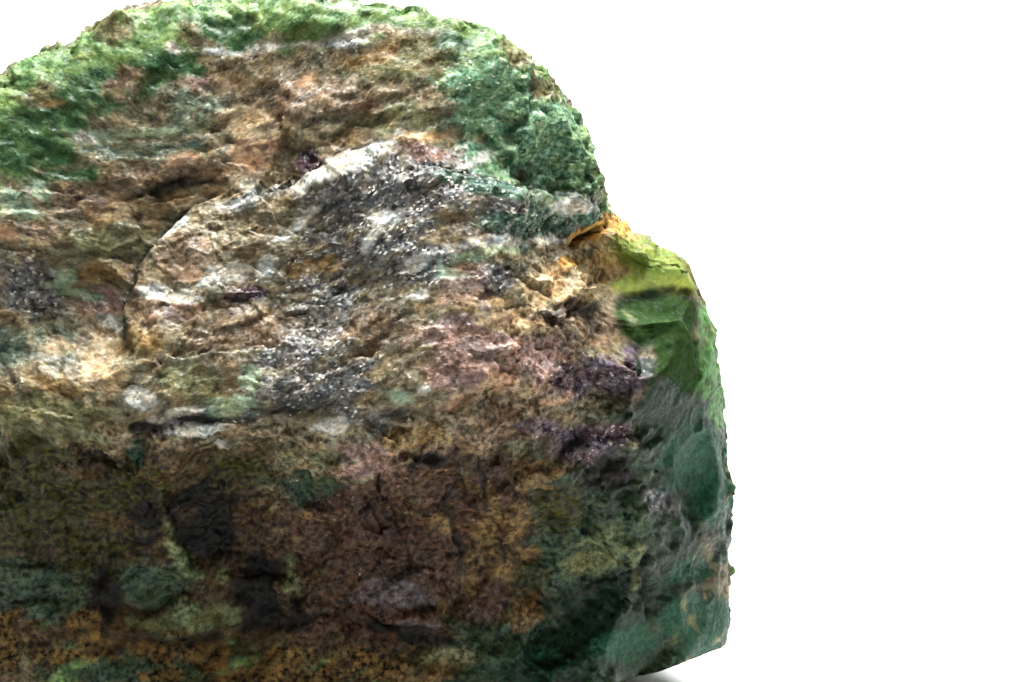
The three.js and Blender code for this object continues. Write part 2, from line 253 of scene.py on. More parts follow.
        (-7.2, 16.3, 1.0, 0.45, -20, 1.1), (-5.4, 15.4, 1.6, 0.22, 12, 1.1), (1.4, 35.2, 2.6, 0.22, 2, 1),
        (4.2, 35.8, 1.8, 0.25, 12, 1), (-3.0, 34.8, 1.6, 0.15, 4, 0.8), (3.0, 14.9, 1.2, 0.5, 0, 0.9),
        (-3.6, 14.6, 1.4, 0.3, 6, 1), (-3.0, 13.5, 0.5, 0.2, 30, 0.8), (15.2, 26.3, 0.9, 0.3, 0, 1),
        (7.6, 16.7, 0.4, 0.25, -20, 1), (-9.3, 20.4, 0.8, 0.4, -20, 0.8), (-5.6, 25.1, 1.0, 0.25, 34, 0.9),
        (10.4, 29.0, 1.0, 0.4, 30, 0.7), (5.5, 29.3, 0.7, 0.2, 40, 0.9), (-6.0, 34.9, 0.3, 0.4, 60, 1),
        (-10.4, 30.2, 0.6, 0.25, -20, 0.9), (-12.0, 18.2, 0.8, 0.2, 0, 0.7), (7.2, 23.3, 1.0, 0.3, 20, 0.7),
    ]),
    "old_gold": ("#40301c", "#8a7048", 1.5, 0.6, 0.3, [
        (8.9, 9.7, 0.9, 0.6, 0, 1), (10.9, 8.8, 0.5, 1.0, 0, 1), (12.6, 9.6, 0.7, 1.1, -10, 1),
        (13.2, 7.9, 0.8, 0.4, -30, 1), (13.6, 12.0, 1.3, 0.6, 0, 1), (13.0, 4.7, 0.7, 1.0, -10, 0.9),
        (10.0, 6.8, 0.6, 1.0, 0, 0.9), (7.0, 1.6, 2.0, 0.7, 0, 0.9), (11.4, 10.6, 0.3, 1.0, 0, 0.8),
        (1.3, 10.1, 0.5, 0.25, 0, 0.9), (11.8, 6.8, 0.6, 0.5, 0, 0.9),
    ]),
    "ochre": ("#93631f", "#e6ba6a", 0.8, 0.6, 0.2, [
        (16.8, 25.3, 1.5, 0.5, 22, 1.1), (18.1, 25.2, 0.8, 0.6, -30, 1.1), (15.4, 23.4, 0.9, 0.4, 10, 0.9),
    ]),
    "crust": ("#16110a", "#8e7040", 2.4, 0.85, 0.0, [
        (-9.4, 2.6, 2.8, 0.9, -6, 1), (-4.6, 2.8, 3.4, 0.7, -4, 1), (0.8, 1.2, 3.0, 1.2, 0, 1),
        (-15.4, 3.6, 1.6, 1.4, -30, 1), (-10.6, 4.4, 0.6, 0.7, 0, 1), (-4.0, 1.4, 4.0, 0.8, 0, 0.8),
        (4.4, 1.8, 1.6, 1.0, 0, 0.7),
    ]),
}

# Conchoidal chips that give the right end its form: [across, up, width, depth].
MAIN_CHIPS = [
    (22.6, 11.8, 5.0, 0.8), (19.6, 23.2, 3.4, 0.2), (23.0, 6.6, 3.4, 0.5),
    (20.4, 4.4, 4.0, 0.4), (17.4, 13.0, 4.6, 0.5), (16.4, 19.6, 4.4, 0.3), (7.6, 9.0, 6.6, 0.6),
    (14.6, 8.4, 4.4, 0.4), (-11.4, 9.2, 4.6, 0.6), (17.6, 9.0, 3.4, 0.4), (2.8, 4.2, 4.4, 0.5),
]

# Faces that broke like glass: [across, up, reach].
GLASSY_FACES = [(22.4, 12.6, 2.6), (22.8, 4.0, 2.4), (19.0, 3.0, 1.8), (21.4, 17.0, 2.4)]

# Steps on the broad face, where one layer broke off short: height, and a line [across, up] whose left
# side stands higher.
LEDGES = [
    (0.7, [
        (-2.0, 27.6), (-4.6, 26.3), (-6.5, 24.5), (-7.6, 23.1), (-8.1, 21.5), (-8.2, 19.8), (-7.4, 17.6),
    ]),
    (0.4, [(6.6, 30.0), (3.4, 29.2), (0.4, 27.4), (-2.2, 26.8)]),
    (0.5, [(17.8, 26.2), (16.0, 26.9), (13.0, 27.3), (9.0, 28.3), (6.0, 29.0)]),
    (0.4, [(-7.2, 15.6), (-4.4, 15.2), (-1.6, 15.2), (0.4, 16.0), (3.0, 16.4)]),
    (0.3, [(14.2, 20.9), (15.6, 21.0), (17.6, 21.2)]),
    (0.15, [(17.6, 21.5), (19.4, 21.8), (21.0, 22.0), (22.8, 21.7)]),
    (0.5, [(-4.6, 6.6), (-5.2, 8.0), (-6.0, 10.0), (-6.2, 11.6)]),
    (0.45, [(9.2, 6.2), (9.4, 8.4), (8.4, 10.2), (9.4, 12.6)]),
    (0.45, [(15.0, 5.4), (17.0, 6.4), (19.0, 7.0), (19.8, 8.6)]),
    (0.4, [(-8.2, 3.6), (-5.4, 3.2), (-2.4, 3.6)]),
    (0.35, [(4.0, 4.4), (6.0, 4.2), (8.6, 3.6)]),
]

# Open cracks: depth, and a line [across, up].
CRACKS = [
    (0.7, [(18.0, 25.5), (16.8, 25.2), (15.9, 24.7), (15.2, 24.0)]),
    (0.12, [(-8.0, 27.1), (-6.4, 27.2), (-5.0, 27.6), (-3.4, 27.9)]),
    (0.25, [(10.9, 13.2), (10.8, 11.6), (11.2, 10.2)]),
    (0.25, [(19.5, 7.0), (19.7, 5.6), (19.6, 3.8)]),
]


# ---- Settings ----
class StoneShape(bpy.types.PropertyGroup):
    detail: bpy.props.IntProperty(
        name="Detail", description="How many times each face of the solid is divided",
        default=3, min=1, max=4,
    )
    chips: bpy.props.IntProperty(
        name="Chips", description="Small conchoidal chips on the broken faces", default=320, min=0
    )
    chip_width: bpy.props.FloatProperty(
        name="Widest chip", description="Width of the widest small chip", default=6.5 * MM, unit="LENGTH"
    )
    bedding: bpy.props.FloatProperty(
        name="Bedding steps", description="Height of the splintery steps along the mica layers",
        default=0.3 * MM, unit="LENGTH",
    )
    blocks: bpy.props.FloatProperty(
        name="Blocky breaks", description="Height of the blocky breaks of the lower wall and the back",
        default=0.6 * MM, unit="LENGTH",
    )
    roughness_height: bpy.props.FloatProperty(
        name="Broken texture", description="Height of the finer unevenness", default=0.2 * MM, unit="LENGTH"
    )


class StoneFinish(bpy.types.PropertyGroup):
    body_dark: bpy.props.FloatVectorProperty(
        name="Body, dark", description="Darker tone of the brown-olive body", subtype="COLOR", size=4,
        default=linear("#544834"), min=0, max=1,
    )
    body_light: bpy.props.FloatVectorProperty(
        name="Body, light", description="Lighter tone of the brown-olive body", subtype="COLOR", size=4,
        default=linear("#a09476"), min=0, max=1,
    )
    # The mica colour is painted pale to stand in for the flakes' glints as well as their own colour.
    mica: bpy.props.FloatVectorProperty(
        name="Mica flakes", description="Colour of the bright mica flakes", subtype="COLOR", size=4,
        default=linear("#e8e2cc"), min=0, max=1,
    )
    flake: bpy.props.FloatProperty(
        name="Mica flake", description="Typical width of a mica flake", default=0.13 * MM, unit="LENGTH"
    )


class StudioSettings(bpy.types.PropertyGroup):
    key: bpy.props.FloatProperty(
        name="Top light", description="Strength of the big soft light overhead", default=6.3, unit="POWER"
    )
    rim: bpy.props.FloatProperty(
        name="Rim light", description="Strength of the soft light behind on the right",
        default=1.2, unit="POWER",
    )
    distance: bpy.props.FloatProperty(
        name="Camera distance", description="From the camera to the stone", default=0.5, unit="LENGTH"
    )
    width: bpy.props.FloatProperty(
        name="View width", description="Width of the view at the stone", default=56.3 * MM, unit="LENGTH"
    )


# ---- Noise ----
# The seed is the last whole number that each noise is given, and no two share one.
def fade(t):
    """A rise from 0 to 1 that starts and ends flat in slope and curvature."""
    return t * t * t * (t * (t * 6 - 15) + 10)


def smoothstep(x, low, high):
    """0 below `low`, 1 above `high`, and an even rise between."""
    t = np.clip((x - low) / (high - low), 0, 1)
    return t * t * (3 - 2 * t)


def unit(vectors):
    """The vectors at length 1."""
    return vectors / np.maximum(np.linalg.norm(vectors, axis=-1, keepdims=True), 1e-12)


def noise(points, size, seed):
    """Smooth noise, about -1 to 1, whose bumps are about `size` wide."""
    rng = np.random.default_rng(seed)
    table = rng.permutation(256)
    slopes = unit(rng.normal(size=(256, 3)))
    scaled = points / size
    cell = np.floor(scaled).astype(np.int64)
    local = scaled - cell
    blend = fade(local)
    total = np.zeros(len(points))
    for corner in np.ndindex(2, 2, 2):
        at = cell + corner
        pick = table[(table[(table[at[:, 0] & 255] + at[:, 1]) & 255] + at[:, 2]) & 255]
        share = np.prod(np.where(corner, blend, 1 - blend), axis=1)
        total += share * np.einsum("ij,ij->i", slopes[pick], local - corner)
    return total * 1.6


def layered(points, size, octaves, seed, keep=0.5):
    """Noise over several sizes, each half the size of the last and `keep` of its height."""
    return sum(noise(points, size / 2**k, seed + k) * keep**k for k in range(octaves))


def facets(points, size, seed):
    """Broken facets: cells about `size` wide, each a flat piece tilted its own way."""
    rng = np.random.default_rng(seed)
    table = rng.permutation(256)
    jitter = rng.uniform(0.1, 0.9, (256, 3))
    tilts = unit(rng.normal(size=(256, 3)))
    scaled = points / size
    cell = np.floor(scaled).astype(np.int64)
    nearest = np.full(len(points), 1e9)
    height = np.zeros(len(points))
    for step in np.ndindex(3, 3, 3):
        at = cell + np.array(step) - 1
        pick = table[(table[(table[at[:, 0] & 255] + at[:, 1]) & 255] + at[:, 2]) & 255]
        away = scaled - (at + jitter[pick])
        gap = np.einsum("ij,ij->i", away, away)
        closer = gap < nearest
        nearest = np.where(closer, gap, nearest)
        height = np.where(closer, np.einsum("ij,ij->i", away, tilts[pick]), height)
    return height


# ---- The stone's mesh ----
UPPER_SLOPE = unit(np.array([-0.05, -0.72, 0.69]))  # the way that the upper half of the broad face looks


def places_of(mesh):
    """Where the vertices are, in metres, as rows of three numbers."""
    values = np.empty(len(mesh.vertices) * 3)
    mesh.vertices.foreach_get("co", values)
    return values.reshape(-1, 3)


def normals_of(mesh):
    """The way that the surface looks at each vertex, as rows of three numbers."""
    values = np.empty(len(mesh.vertices) * 3)
    mesh.vertex_normals.foreach_get("vector", values)
    return values.reshape(-1, 3)


def move(mesh, points):
    """Puts the vertices at points in millimetres."""
    mesh.vertices.foreach_set("co", (points * MM).ravel())
    mesh.update()


def face_coordinates(points):
    """[across, up, out] of points in millimetres."""
    return points @ np.stack([ACROSS, UP, OUT], axis=1)


def bedding_coordinates(points):
    """Points in the rock's own bedding: along a layer, through the stone, and across the layers, which
    lie nearly level at both ends, climb to the right in the middle, and are gently wavy."""
    across, up, out = face_coordinates(points).T
    climb = 2.6 * np.tanh((across - 3) / 7)
    waves = 0.9 * noise(points, 9, 3) + 0.3 * noise(points, 3.4, 4)
    return np.stack([across + 0.3 * up, out, up - climb + 0.35 * out + waves], axis=1)


def thinness(mesh):
    """1 where the stone is thin behind a vertex and light gets through it, 0 where it is thick."""
    tree = BVHTree.FromPolygons([v.co for v in mesh.vertices], [p.vertices for p in mesh.polygons])
    values = []
    for vertex in mesh.vertices:
        inward = -vertex.normal
        start = vertex.co + inward * (0.05 * MM)
        reached = tree.ray_cast(start, inward)[3] or 0.0
        sideways = tree.ray_cast(start, (inward + Vector((0, 0, -0.6))).normalized())[3] or 0.0
        values.append(min(reached, sideways) / MM)
    return 1 - smoothstep(np.array(values), 4, 17)


def chip(points, normals, centre, outward, width, depth):
    """Pushes points out of a ball that dips `depth` into the surface over `width`, which leaves a round
    hollow with a crisp rim, as a chip does in quartz."""
    radius = (width * width / 4 + depth * depth) / (2 * depth)
    ball = centre + outward * (radius - depth)
    away = points - ball
    gap = np.linalg.norm(away, axis=1)
    inside = (gap < radius) & (normals @ outward > 0.15)
    points[inside] += away[inside] * ((radius - gap[inside]) / gap[inside])[:, None]


def add_chips(points, normals, shape, top):
    """The large chips as listed, then the small ones at random, fewer on the layered upper face."""
    spots = face_coordinates(points)
    for across, up, width, depth in MAIN_CHIPS:
        off = np.hypot(spots[:, 0] - across, spots[:, 1] - up) - spots[:, 2] * 0.05
        off[normals @ OUT < 0.1] = 1e9
        near = int(np.argmin(off))
        chip(points, normals, points[near].copy(), normals[near], width, depth)
    rng = np.random.default_rng(CHIP_SEED)
    widest = shape.chip_width / MM
    rays = unit(points - HEART)
    on_rim = 1 - smoothstep(np.abs(normals @ OUT), 0.3, 0.8)
    for _ in range(shape.chips):
        near = int(np.argmax(rays @ unit(rng.normal(size=3))))
        width = widest * rng.uniform(0.3, 1.0) ** 1.7 * (1 - 0.5 * on_rim[near])
        depth = min(width * rng.uniform(0.07, 0.15), 0.5)
        keep, lean = rng.uniform(), rng.normal(scale=0.14, size=3)
        if points[near, 2] < 0.8 or keep < 0.75 * top[near]:
            continue
        outward = unit(normals[near] + lean)
        chip(points, normals, points[near].copy(), outward, width, depth)


def from_route(across, up, route):
    """How far each point of the face is from a line of points, above 0 on its left and below 0 on its
    right, and a strength that dies away at the line's two ends."""
    gap = np.full(len(across), 1e9)
    side = np.ones(len(across))
    progress = np.zeros(len(across))
    for number, ((x0, y0), (x1, y1)) in enumerate(zip(route, route[1:])):
        run_x, run_y = x1 - x0, y1 - y0
        share = ((across - x0) * run_x + (up - y0) * run_y) / (run_x**2 + run_y**2)
        share = np.clip(share, 0, 1)
        far = np.hypot(across - x0 - share * run_x, up - y0 - share * run_y)
        closer = far < gap
        gap = np.where(closer, far, gap)
        turned = run_x * (up - y0) - run_y * (across - x0)
        side = np.where(closer, np.where(turned > 0, 1.0, -1.0), side)
        progress = np.where(closer, (number + share) / (len(route) - 1), progress)
    strength = smoothstep(progress, 0.0, 0.2) * smoothstep(1 - progress, 0.0, 0.2)
    return gap * side, strength


def ledges_and_cracks(across, up):
    """Height of the steps and cracks of the broad face, and how deep in their corners each point is."""
    height = np.zeros(len(across))
    corner = np.zeros(len(across))
    for step, route in LEDGES:
        away, strength = from_route(across, up, route)
        near = strength * (1 - smoothstep(np.abs(away), 0.6, 3.0))
        height += step * near * (smoothstep(away, -0.15, 0.15) - 0.5)
        corner = np.maximum(corner, near * (1 - smoothstep(np.abs(away + 0.12), 0.12, 0.45)))
    for depth, route in CRACKS:
        away, strength = from_route(across, up, route)
        open_crack = strength * (1 - smoothstep(np.abs(away), 0.05, 0.25))
        height -= depth * open_crack
        corner = np.maximum(corner, open_crack)
    return height, corner


def paint(points, normals, bed, thin, finish):
    """The stone's dark and light tone, roughness and sparkle at each point."""
    across, up, _ = face_coordinates(points).T
    across = across + 0.4 * noise(bed, 3, 60) + 0.2 * noise(points, 1.1, 61)
    up = up + 0.25 * noise(bed, 3, 62) + 0.12 * noise(points, 0.9, 63)
    front = smoothstep(normals @ OUT, -0.25, 0.1)
    # Away from the broad face the same minerals lie in seams along the bedding, and thin edges are painted
    # green quartz: partly the rock's own green and partly a painted glow of light shining through them.
    margin = np.maximum(1 - smoothstep(across, -19, -15.5), 1 - smoothstep(up, -2, 0.3))
    back = np.maximum(1 - front, margin)
    seams = {
        "green_quartz": back * (0.5 + 0.9 * noise(bed, 11, 70)) + thin * (0.55 + 0.15 * back),
        "sea_green": back * (0.1 + noise(bed, 8, 71)),
        "slate_mica": back * (0.2 + noise(bed, 6, 72)),
        "brown": back * (0.3 + noise(bed, 5, 73)),
        "mauve": back * (-0.05 + noise(bed, 9, 74)),
        "quartz_vein": back * (-0.05 + noise(bed * [0.35, 0.35, 1.5], 2.6, 75)),
        "crust": back * (0.5 - 0.12 * points[:, 2] + 0.7 * noise(points, 5, 76)),
    }
    ragged_one = layered(bed * [0.5, 0.5, 1.0], 1.2, 4, 80, 0.75)
    ragged_two = layered(bed * [0.5, 0.5, 1.0], 1.2, 4, 90, 0.75)
    # Eight numbers for each point: dark tone, light tone, roughness, sparkle.
    look = np.tile([*finish.body_dark[:3], *finish.body_light[:3], 0.45, 0.6], (len(points), 1))
    for number, (name, (dark, light, ragged, rough, sparkle, patches)) in enumerate(MINERALS.items()):
        mask = np.zeros(len(points))
        for x, y, half_x, half_y, tilt, strength in patches:
            turn = math.radians(tilt)
            along = (across - x) * math.cos(turn) + (up - y) * math.sin(turn)
            over = (up - y) * math.cos(turn) - (across - x) * math.sin(turn)
            away = np.hypot(along / half_x, over / half_y)
            mask = np.maximum(mask, strength * (1 - smoothstep(away, 0.2, 1.85)))
        mask = np.maximum(mask * front, seams.get(name, 0.0))
        edge = math.cos(2.4 * number) * ragged_one + math.sin(2.4 * number) * ragged_two
        cover = smoothstep(mask + 0.36 * ragged * edge * np.minimum(4 * mask, 1), 0.26, 0.8)[:, None]
        look += cover * (np.array([*linear(dark)[:3], *linear(light)[:3], rough, sparkle]) - look)
    # The lamps hardly reach the foot of the broad face, so it is kept a little paler.
    look[:, 0:6] *= (1 + 0.28 * front * (1 - smoothstep(up, 1, 6)))[:, None]
    # The lamps stand behind the stone, so the back, the left end and the hidden foot are kept darker
    # and more even for them. The rock itself need not be darker there.
    subdued = smoothstep(-(normals @ OUT), -0.2, 0.5)
    subdued = np.maximum(subdued, 0.6 * margin)[:, None]
    middle = 0.5 * (look[:, 0:3] + look[:, 3:6])
    look[:, 0:3] += 0.35 * subdued * (middle - look[:, 0:3])
    look[:, 3:6] += 0.35 * subdued * (middle - look[:, 3:6])
    look[:, 0:6] *= 1 - 0.55 * subdued
    return look


def store(mesh, name, values):
    """Keeps one number or one row of three for each vertex, for the material to read."""
    flat = np.ascontiguousarray(values, dtype=np.float32)
    if flat.ndim == 1:
        mesh.attributes.new(name, "FLOAT", "POINT").data.foreach_set("value", flat)
    else:
        mesh.attributes.new(name, "FLOAT_VECTOR", "POINT").data.foreach_set("vector", flat.ravel())


def lay_out_map(mesh):
    """Six flat charts, one for each way the smooth stone can face, side by side in a square."""
    box_low, box_high = (np.array(corner) for corner in CAD_BOX)
    span = (box_high - box_low) + 2 * MM
    side = max(2 * span[0], 2 * span[2] + 1.05 * span[1])
    charts = {
        (1, -1): (0, 2, 0.0, 0.0), (1, 1): (0, 2, span[0], 0.0), (2, 1): (0, 1, 0.0, span[2]),
        (2, -1): (0, 1, span[0], span[2]), (0, 1): (2, 1, 0.0, span[2] + span[1]),
        (0, -1): (2, 1, span[0], span[2] + span[1]),
    }
    facing = np.empty(len(mesh.polygons) * 3)
    mesh.polygons.foreach_get("normal", facing)
    facing = facing.reshape(-1, 3)
    axis = np.abs(facing * [1.0, 1.15, 1.0]).argmax(axis=1)
    sign = np.sign(facing[np.arange(len(facing)), axis]).astype(int)
    sizes = np.empty(len(mesh.polygons), dtype=np.int64)
    mesh.polygons.foreach_get("loop_total", sizes)
    corners = np.empty(len(mesh.loops), dtype=np.int64)
    mesh.loops.foreach_get("vertex_index", corners)
    places = (places_of(mesh) - box_low + MM)[corners]
    loop_axis, loop_sign = np.repeat(axis, sizes), np.repeat(sign, sizes)
    coordinates = np.zeros((len(corners), 2))
    for (chart_axis, chart_sign), (right, rise, x, y) in charts.items():
        on = (loop_axis == chart_axis) & (loop_sign == chart_sign)
        coordinates[on] = places[on][:, [right, rise]] + [x, y]
    layer = mesh.uv_layers.new(name="OFBake")
    layer.data.foreach_set("uv", (coordinates / side).astype(np.float32).ravel())


def divided_solid(detail):
    """A copy of the solid as a mesh of its own, rounded off and divided `detail` times, as an object."""
    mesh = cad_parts[SOLID].data.copy()
    mesh.name = "stone"
    mesh.materials.clear()
    joined = bmesh.new()
    joined.from_mesh(mesh)
    bmesh.ops.remove_doubles(joined, verts=joined.verts, dist=0.001 * MM)
    joined.to_mesh(mesh)
    joined.free()
    store(mesh, "thin", thinness(mesh))
    stone = bpy.data.objects.new("stone_surface", mesh)
    bpy.context.scene.collection.objects.link(stone)
    rounding = stone.modifiers.new("rounding", "SUBSURF")
    rounding.levels = rounding.render_levels = detail
    finished = bpy.data.meshes.new_from_object(
        stone.evaluated_get(bpy.context.evaluated_depsgraph_get())
    )
    stone.modifiers.clear()
    stone.data = finished
    bpy.data.meshes.remove(mesh)
    finished.name = "stone_surface"
    return stone


def broken_relief(points, bed, smooth_normals, top, shape):
    """How far each point lies above the chipped surface, how deep in a corner it is, and how glassy."""
    across, up, _ = face_coordinates(points).T
    front = smoothstep(smooth_normals @ OUT, 0.0, 0.3)
    # Mica layers break into steps, and massive quartz breaks into blocks.
    flat_bed = bed * [0.45, 0.45, 1.0]
    steps = 0.5 * facets(flat_bed, 2.1, 20) + 0.4 * facets(flat_bed, 0.9, 21)
    steps += 0.35 * (0.5 - np.abs(noise(bed * [0.3, 0.3, 1.0], 1.1, 22)))
    shaken = points + 0.5 * noise(points, 2, 24)[:, None]
    blocks = 1.1 * facets(shaken, 6.0, 27) + 0.6 * facets(shaken, 3.1, 25)
    blocks += 0.3 * facets(points, 1.4, 26) + 0.22 * facets(points, 0.7, 28)
    # The lump at the right end and the facets below it broke like glass.
    glassy = smoothstep(across, 16.2, 18.4) * smoothstep(up, 17, 19.5) * smoothstep(25.5 - up, 0, 2)
    for x, y, reach in GLASSY_FACES:
        away = np.hypot(across - x, up - y)
        glassy = np.maximum(glassy, 1 - smoothstep(away, 0.8 * reach, 1.2 * reach))
    right_end = smoothstep(across, 18.5, 21.5) * smoothstep(smooth_normals @ OUT, -0.6, -0.2)
    glassy = np.maximum(glassy * front, 0.5 * right_end)
    on_rim = 1 - smoothstep(np.abs(smooth_normals @ OUT), 0.1, 0.7)
    lift = shape.bedding / MM * steps * (0.25 + 0.75 * top) * (1 - 0.7 * glassy)
    lift += shape.blocks / MM * blocks * (1 - 0.75 * top) * (1 - 0.7 * glassy)
    lift -= 0.3 * on_rim * (1 - smoothstep(across, 14, 20))
    broken = layered(points, 2.0, 5, 30, 0.55)
    lift += shape.roughness_height / MM * broken * (1.4 - 0.95 * top) * (1 - 0.75 * glassy)
    wander = 0.35 * noise(points, 1.6, 40) + 0.15 * noise(points, 0.6, 41)
    ledges, corner = ledges_and_cracks(across + wander, up + 0.6 * wander)
    lift += ledges * front
    return lift, corner * front, glassy


def carve(shape, finish):
    """The finished stone: the solid's form, chipped, stepped along its bedding, roughened and coloured."""
    stone = divided_solid(shape.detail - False)
    mesh = stone.data
    lay_out_map(mesh)
    points = places_of(mesh) / MM
    normals = normals_of(mesh)
    thin = np.empty(len(points), dtype=np.float32)
    mesh.attributes["thin"].data.foreach_get("value", thin)
    smooth_normals = normals.copy()
    top = smoothstep(normals @ UPPER_SLOPE, 0.86, 0.97)
    above_foot = smoothstep(points[:, 2], 0.1, 1.6)
    start = points.copy()

    add_chips(points, normals, shape, top)
    points = start + (points - start) * above_foot[:, None]
    move(mesh, points)
    normals = unit(0.6 * normals_of(mesh) + 0.4 * smooth_normals)
    chipped = points.copy()

    bed = bedding_coordinates(points)
    lift, corner, glassy = broken_relief(points, bed, smooth_normals, top, shape)
    points = points + normals * (lift * above_foot)[:, None]
    # The right end of the foot curls up clear of the ground.
    across, up, _ = face_coordinates(points).T
    clear = np.maximum(0.6 + 0.3 * (across - 17.2) - up, 0) * smoothstep(across, 13, 18)
    points[:, 2] = np.maximum(points[:, 2], 0.0) + clear * smoothstep(8 - points[:, 2], 0, 6)
    move(mesh, points)

    look = paint(chipped, smooth_normals, bed, thin, finish)
    # Painted shade: the foot of each ledge and the inside of each open crack are darkened by up to three
    # quarters.
    crease_shade = (1 - 0.75 * corner)[:, None]
    # Glassy faces are even in colour.
    even = 0.3 * glassy[:, None] * (look[:, 3:6] - look[:, 0:3])
    look[:, 0:3] += even
    look[:, 3:6] -= even
    store(mesh, "glow", thin * (0.2 + 0.8 * smoothstep(up, 11, 20)))
    store(mesh, "height", lift)
    store(mesh, "bedding", bed * MM)
    store(mesh, "layered", np.clip(top + 0.25, 0, 1) * (1 - glassy))
    store(mesh, "dark_tone", look[:, 0:3] * crease_shade)
    store(mesh, "light_tone", look[:, 3:6] * crease_shade)
    store(mesh, "roughness", look[:, 6] + 0.15 * glassy)
    store(mesh, "sparkle", look[:, 7] * (1 - 0.7 * glassy))
    mesh.polygons.foreach_set("use_smooth", np.ones(len(mesh.polygons), dtype=bool))
    return stone


# ---- Materials ----
def add(tree, kind, inputs=None, **settings):
    """Adds a node, sets its settings, and fills or links its inputs."""
    made = tree.nodes.new("ShaderNode" + kind)
    for name, value in settings.items():
        setattr(made, name, value)
    for key, value in (inputs or {}).items():
        if isinstance(value, bpy.types.NodeSocket):
            tree.links.new(value, made.inputs[key])
        else:
            made.inputs[key].default_value = value
    return made


def aventurine(finish):
    """Aventurine: quartz with green mica, broken and not polished. The quartz is glassy and lets light a
    few millimetres in, the mica flakes glint one by one, and iron has stained the old surfaces dull."""
    material = bpy.data.materials.new("broken_aventurine")
    material.use_nodes = True
    tree = material.node_tree
    tree.nodes.clear()
    place = add(tree, "TexCoord").outputs["Object"]
    bed = add(tree, "Attribute", attribute_name="bedding").outputs["Vector"]
    dark = add(tree, "Attribute", attribute_name="dark_tone").outputs["Vector"]
    light = add(tree, "Attribute", attribute_name="light_tone").outputs["Vector"]
    rough = add(tree, "Attribute", attribute_name="roughness").outputs["Fac"]
    sparkle = add(tree, "Attribute", attribute_name="sparkle").outputs["Fac"]
    height = add(tree, "Attribute", attribute_name="height").outputs["Fac"]
    glow = add(tree, "Attribute", attribute_name="glow").outputs["Fac"]
    layered_face = add(tree, "Attribute", attribute_name="layered").outputs["Fac"]

    # Streaks along the layers, 0.8 mm long and 0.45 mm thick at their largest, and mottling from 0.3 mm
    # down.
    squeezed = add(tree, "Mapping", {"Vector": bed, "Scale": (1250.0, 1250.0, 2200.0)}).outputs[0]
    streaks = add(tree, "TexNoise", {"Vector": squeezed, "Scale": 1.0, "Detail": 4.0, "Roughness": 0.75})
    mottle = add(tree, "TexNoise", {"Vector": place, "Scale": 3400.0, "Detail": 3.0, "Roughness": 0.58})
    pattern = add(
        tree, "Mix", {0: layered_face, 2: mottle.outputs["Fac"], 3: streaks.outputs["Fac"]},
        data_type="FLOAT",
    ).outputs[0]
    low = add(tree, "MapRange", {"Value": layered_face, "To Min": 0.42, "To Max": 0.36}).outputs[0]
    high = add(tree, "MapRange", {"Value": layered_face, "To Min": 0.58, "To Max": 0.66}).outputs[0]
    contrast = add(tree, "MapRange", {"Value": pattern, "From Min": low, "From Max": high}).outputs[0]
    colour = add(tree, "Mix", {0: contrast, 4: dark, 5: light}, data_type="VECTOR").outputs[1]
    # Every mineral is stained warmer and cooler in spots up to 1.5 mm long.
    spots = add(tree, "TexNoise", {"Vector": squeezed, "Scale": 0.55, "Detail": 3.0, "Roughness": 0.7})
    spots = spots.outputs["Fac"]
    stained = add(tree, "MapRange", {"Value": spots, "From Min": 0.38, "From Max": 0.62}).outputs[0]
    stain = add(
        tree, "Mix", {0: stained, 4: (1.12, 1.0, 0.84), 5: (0.9, 1.02, 1.1)}, data_type="VECTOR"
    ).outputs[1]
    colour = add(tree, "VectorMath", {0: colour, 1: stain}, operation="MULTIPLY").outputs[0]

    # Grain by grain: each is a little lighter or darker, and some are mica flakes, painted pale: partly the
    # flakes' own colour and partly painted glints.
    flat = add(tree, "Mapping", {"Vector": bed, "Scale": (0.75, 0.75, 1.2)}).outputs[0]
    grains = add(tree, "TexVoronoi", {"Vector": flat, "Scale": 1.0 / finish.flake, "Randomness": 1.0})
    chance = add(tree, "SeparateColor", {"Color": grains.outputs["Color"]})
    uneven_tone = add(tree, "MapRange", {"Value": sparkle, "To Min": 0.14, "To Max": 0.75}).outputs[0]
    grain_tone = add(tree, "Math", {0: chance.outputs[0], 1: -0.5}, operation="ADD").outputs[0]
    grain_tone = add(
        tree, "Math", {0: grain_tone, 1: uneven_tone, 2: 1.0}, operation="MULTIPLY_ADD"
    ).outputs[0]
    # Raised points are made lighter and hollows darker, by their height.
    height_tone = add(
        tree, "MapRange",
        {"Value": height, "From Min": -0.4, "From Max": 0.4, "To Min": 0.76, "To Max": 1.18},
    ).outputs[0]
    tone = add(tree, "Math", {0: grain_tone, 1: height_tone}, operation="MULTIPLY").outputs[0]
    height_toned_colour = add(tree, "VectorMath", {0: colour, "Scale": tone}, operation="SCALE").outputs[0]
    flaky = add(tree, "MapRange", {"Value": sparkle, "To Min": 1.5, "To Max": 1.06}).outputs[0]
    clustered = add(tree, "Math", {0: chance.outputs[1], 1: pattern}, operation="ADD").outputs[0]
    clustered = add(tree, "Math", {0: clustered, 1: -0.3}, operation="ADD").outputs[0]
    is_flake = add(tree, "Math", {0: clustered, 1: flaky}, operation="GREATER_THAN").outputs[0]
    flake_glint_share = add(
        tree, "MapRange", {"Value": chance.outputs[2], "To Min": 0.1, "To Max": 0.65}
    ).outputs[0]
    flake_glint_share = add(tree, "Math", {0: is_flake, 1: flake_glint_share}, operation="MULTIPLY").outputs[0]
    final_colour = add(
        tree, "Mix", {0: flake_glint_share, 6: height_toned_colour, 7: finish.mica}, data_type="RGBA"
    ).outputs[2]

